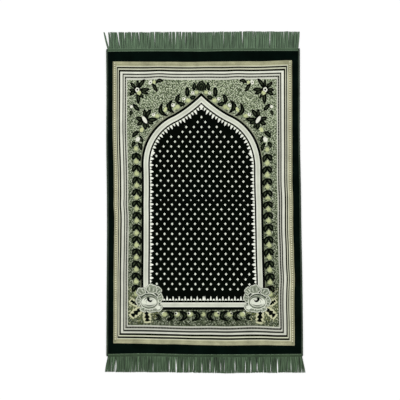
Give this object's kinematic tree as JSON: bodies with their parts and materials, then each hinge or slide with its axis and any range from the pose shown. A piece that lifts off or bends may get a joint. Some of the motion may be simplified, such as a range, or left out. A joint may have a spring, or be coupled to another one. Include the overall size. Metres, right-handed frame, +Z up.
{
  "type": "prayer rug",
  "caption": "Flat pile prayer rug with an arched field inside striped borders, and a heading tape with a fringe at each end.",
  "frame": {"origin": "on the floor under the middle of the rug, fringes included", "axes": "+Y towards the arch end, +X to the right of a person facing that end, +Z up out of the pile"},
  "size_m": [0.7272, 1.232, 0.004],
  "materials": {
    "rug_pile": "woven pile, near-black green ground with cream, sage and black figures",
    "fringe_yarn": "sage green yarn, matt with a faint sheen"
  },
  "bodies": {
    "root": {"rug": "rug_pile", "fringe_top": "fringe_yarn", "fringe_bottom": "fringe_yarn"}
  },
  "joints": []
}
